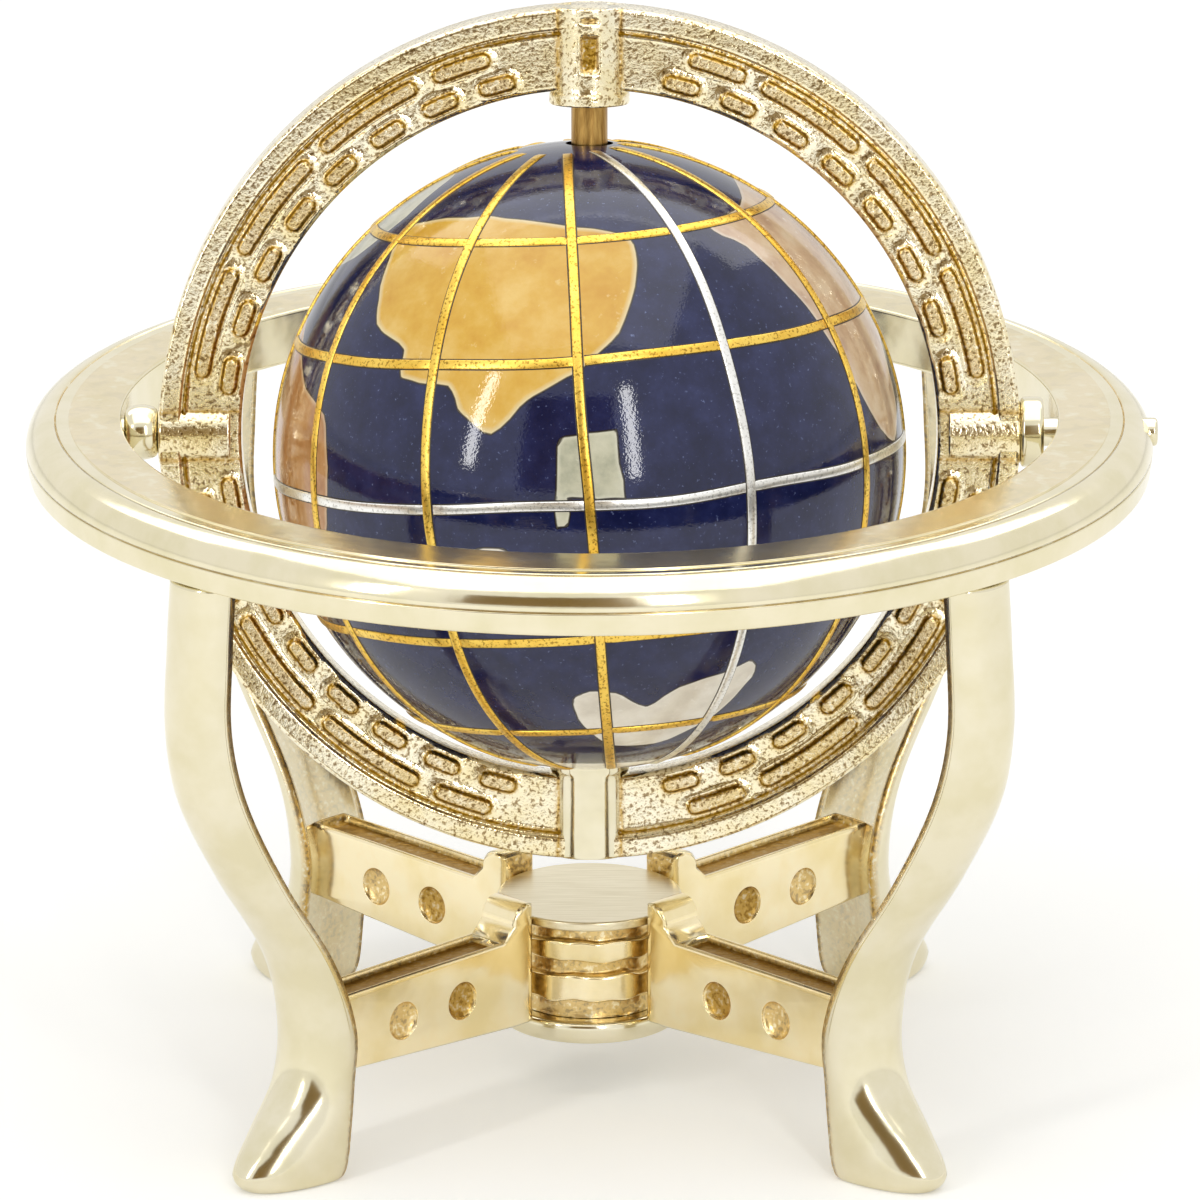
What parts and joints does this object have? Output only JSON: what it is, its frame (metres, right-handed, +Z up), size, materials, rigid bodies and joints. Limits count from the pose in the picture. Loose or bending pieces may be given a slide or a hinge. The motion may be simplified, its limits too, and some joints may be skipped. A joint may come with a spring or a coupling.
{
  "type": "desktop globe on gimbal stand",
  "caption": "Miniature stone-inlaid globe that spins on a polar pin in a tilting meridian ring, inside a horizon ring on scroll legs.",
  "frame": {"origin": "on the table, under the middle of the hub", "axes": "+Z up, +X along the trunnions to the globe's right as seen from the front, the front faces -Y"},
  "size_m": [0.0593, 0.059, 0.0584],
  "materials": {
    "polished_gold": "polished pale gold plate",
    "cast_gold": "pebbled as-cast gold plate",
    "brushed_gold": "brushed pale gold plate",
    "pin_brass": "drawn brass rod",
    "brass_wire": "polished flush wire",
    "silver_wire": "polished white metal wire",
    "screw_steel": "plain steel",
    "core_resin": "cast filled resin",
    "lapis_stone": "polished dark blue stone with pale flecks",
    "honey_stone": "polished honey stone",
    "orange_stone": "polished orange-tan stone",
    "rose_stone": "polished pinkish-grey stone",
    "green_stone": "polished grey-green stone",
    "pearl_stone": "polished white shell"
  },
  "bodies": {
    "stand": {"horizon_ring": "polished_gold", "leg_front_left": "polished_gold", "leg_front_right": "polished_gold", "leg_rear_left": "polished_gold", "leg_rear_right": "polished_gold", "stretcher_front_left": "polished_gold", "stretcher_front_right": "polished_gold", "stretcher_rear_left": "polished_gold", "stretcher_rear_right": "polished_gold", "hub_flange": "polished_gold", "hub_spool": "polished_gold", "hub_cap": "brushed_gold", "hub_screw": "screw_steel"},
    "gimbal": {"meridian_ring": "cast_gold", "polar_pin": "pin_brass", "trunnion_pin_left": "polished_gold", "trunnion_pin_right": "polished_gold", "trunnion_bead_left": "polished_gold", "trunnion_collar_right": "polished_gold"},
    "ball": {"globe_core": "core_resin", "bush_upper": "pin_brass", "bush_lower": "pin_brass", "ocean": "lapis_stone", "land_asia": "honey_stone", "land_europe": "green_stone", "land_africa": "orange_stone", "land_north_america": "rose_stone", "land_south_america": "green_stone", "land_greenland": "pearl_stone", "land_oceania": "pearl_stone", "land_malay_islands": "green_stone", "land_timor_islands": "pearl_stone", "land_antarctica": "pearl_stone", "date_line_wire": "silver_wire", "meridian_wires": "brass_wire", "equator_wires": "silver_wire", "parallel_wires_north_high": "brass_wire", "parallel_wires_north_low": "brass_wire", "parallel_wires_south_low": "brass_wire", "parallel_wires_south_high": "brass_wire"}
  },
  "joints": [
    {"name": "meridian_tilt", "type": "hinge", "parent": "stand", "child": "gimbal", "pos_m": [0, 0, 0.0358], "axis": [1, 0, 0], "continuous": true},
    {"name": "globe_spin", "type": "hinge", "parent": "gimbal", "child": "ball", "pos_m": [0, 0, 0.0358], "axis": [0, 0.1392, 0.9903], "continuous": true}
  ]
}
